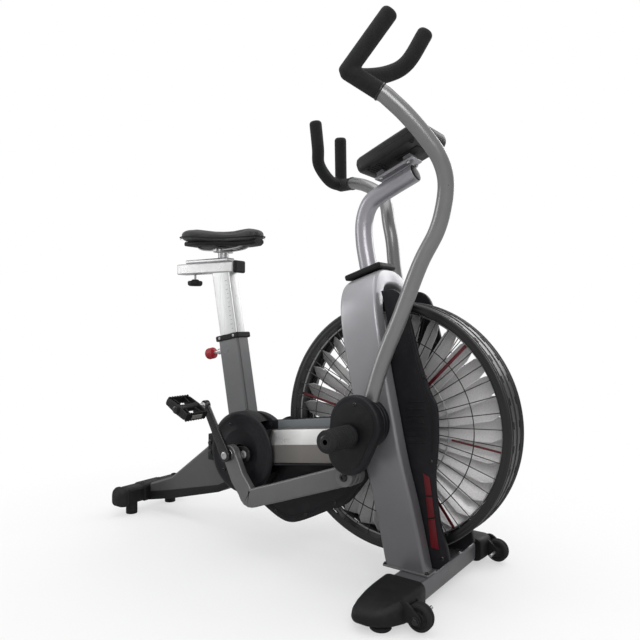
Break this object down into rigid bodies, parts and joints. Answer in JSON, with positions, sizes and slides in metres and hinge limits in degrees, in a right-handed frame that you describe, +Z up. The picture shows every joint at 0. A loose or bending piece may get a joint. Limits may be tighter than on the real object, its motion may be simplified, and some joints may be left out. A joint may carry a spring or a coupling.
{
  "type": "air bike",
  "caption": "Fan-resistance exercise bike with a caged air fan, belt drive, pedals, swinging push-pull arms, adjustable saddle and console",
  "frame": {"origin": "on the floor under the middle of the bike's bounding box, on its centre plane", "axes": "+X is the way the rider faces, +Y is the rider's left, +Z is up; metres"},
  "size_m": [1.335, 0.66, 1.3567],
  "materials": {
    "frame_gray": "satin",
    "silver": "satin",
    "black_plastic": "satin",
    "red_plastic": "satin",
    "rubber": "matte",
    "steel": "brushed",
    "black_steel": "satin",
    "blade_silver": "satin",
    "saddle_cover": "grained"
  },
  "bodies": {
    "frame": {"front_stabilizer": "frame_gray", "front_end_cap_R": "black_plastic", "front_end_cap_L": "black_plastic", "wheel_axle_R": "steel", "wheel_axle_L": "steel", "tower_frame": "frame_gray", "inner_cover_R": "black_plastic", "inner_cover_L": "black_plastic", "accent_strip": "red_plastic", "side_beam_R": "silver", "side_beam_L": "silver", "rear_spine": "frame_gray", "rear_stabilizer": "black_plastic", "rear_end_cap_R": "rubber", "rear_end_cap_L": "rubber", "rear_joint_cover": "black_plastic", "seat_tube": "frame_gray", "seat_collar": "black_plastic", "mast_tube": "frame_gray", "mast_collar": "black_plastic", "console_bracket": "frame_gray", "console_housing": "black_plastic", "console_screen": "black_plastic", "cage_grille_R": "black_steel", "cage_grille_L": "black_steel", "cage_band": "black_steel", "fan_axle": "steel", "drive_belt": "rubber", "belt_guard": "black_plastic", "crank_shroud_R": "black_plastic", "crank_shroud_L": "black_plastic", "foot_peg_R": "rubber", "foot_peg_L": "rubber"},
    "crank": {"crank_spindle": "steel", "crank_pulley": "black_plastic", "crank_arm_R": "black_plastic", "crank_arm_L": "black_plastic"},
    "fan": {"fan_wheel": "blade_silver", "fan_pulley": "steel"},
    "pedal_right": {"pedal_R": "black_plastic"},
    "pedal_left": {"pedal_L": "black_plastic"},
    "link_right": {"link_R": "frame_gray"},
    "link_left": {"link_L": "frame_gray"},
    "arm_right": {"swing_arm_R": "frame_gray", "grip_R": "rubber", "pivot_cover_R": "black_plastic"},
    "arm_left": {"swing_arm_L": "frame_gray", "grip_L": "rubber", "pivot_cover_L": "black_plastic"},
    "seat_mast": {"seat_post": "silver", "seat_rail": "silver", "slider_cap": "black_plastic"},
    "saddle_slide": {"saddle_carriage": "steel", "saddle": "saddle_cover"},
    "slide_knob": {"slider_knob": "black_plastic"},
    "height_pin": {"pull_pin": "red_plastic"},
    "button": {"console_button": "red_plastic"},
    "wheel_right": {"transport_wheel_R": "rubber"},
    "wheel_left": {"transport_wheel_L": "rubber"}
  },
  "joints": [
    {"name": "crank_spin", "type": "hinge", "parent": "frame", "child": "crank", "pos_m": [-0.0795, 0, 0.28], "axis": [0, 1, 0], "continuous": true},
    {"name": "fan_spin", "type": "hinge", "parent": "frame", "child": "fan", "pos_m": [0.3475, 0, 0.398], "axis": [0, 1, 0], "continuous": true},
    {"name": "pedal_right_spin", "type": "hinge", "parent": "crank", "child": "pedal_right", "pos_m": [-0.1939, -0.238, 0.4164], "axis": [0, 1, 0], "continuous": true},
    {"name": "pedal_left_spin", "type": "hinge", "parent": "crank", "child": "pedal_left", "pos_m": [0.0349, 0.238, 0.1436], "axis": [0, 1, 0], "continuous": true},
    {"name": "link_right_pivot", "type": "hinge", "parent": "crank", "child": "link_right", "pos_m": [-0.1125, -0.142, 0.28], "axis": [0, 1, 0], "continuous": true},
    {"name": "link_left_pivot", "type": "hinge", "parent": "crank", "child": "link_left", "pos_m": [-0.0465, 0.142, 0.28], "axis": [0, 1, 0], "continuous": true},
    {"name": "arm_right_swing", "type": "hinge", "parent": "frame", "child": "arm_right", "pos_m": [0.3475, -0.175, 0.398], "axis": [0, 1, 0], "range_deg": [-30, 0]},
    {"name": "arm_left_swing", "type": "hinge", "parent": "frame", "child": "arm_left", "pos_m": [0.3475, 0.175, 0.398], "axis": [0, 1, 0], "range_deg": [0, 30]},
    {"name": "seat_height", "type": "slide", "parent": "frame", "child": "seat_mast", "axis": [-0.1908, 0, 0.9816], "range_m": [-0.1, 0.08]},
    {"name": "saddle_fore_aft", "type": "slide", "parent": "seat_mast", "child": "saddle_slide", "axis": [1, 0, 0], "range_m": [-0.03, 0.03]},
    {"name": "slide_knob_turn", "type": "hinge", "parent": "saddle_slide", "child": "slide_knob", "pos_m": [-0.4175, 0, 0.79], "axis": [0, 0, 1], "continuous": true},
    {"name": "height_pin_pull", "type": "slide", "parent": "frame", "child": "height_pin", "axis": [-0.9816, 0, -0.1908], "range_m": [0, 0.008]},
    {"name": "button_press", "type": "slide", "parent": "frame", "child": "button", "axis": [0.3746, 0, -0.9272], "range_m": [0, 0.001]},
    {"name": "wheel_right_spin", "type": "hinge", "parent": "frame", "child": "wheel_right", "pos_m": [0.5365, -0.24, 0.0335], "axis": [0, 1, 0], "continuous": true},
    {"name": "wheel_left_spin", "type": "hinge", "parent": "frame", "child": "wheel_left", "pos_m": [0.5365, 0.24, 0.0335], "axis": [0, 1, 0], "continuous": true}
  ],
  "couplings": [
    {"joint": "fan_spin", "follows": "crank_spin", "ratio": 3.6364},
    {"joint": "link_right_pivot", "follows": "crank_spin", "ratio": -1},
    {"joint": "link_left_pivot", "follows": "crank_spin", "ratio": -1},
    {"joint": "arm_left_swing", "follows": "arm_right_swing", "ratio": -1}
  ]
}
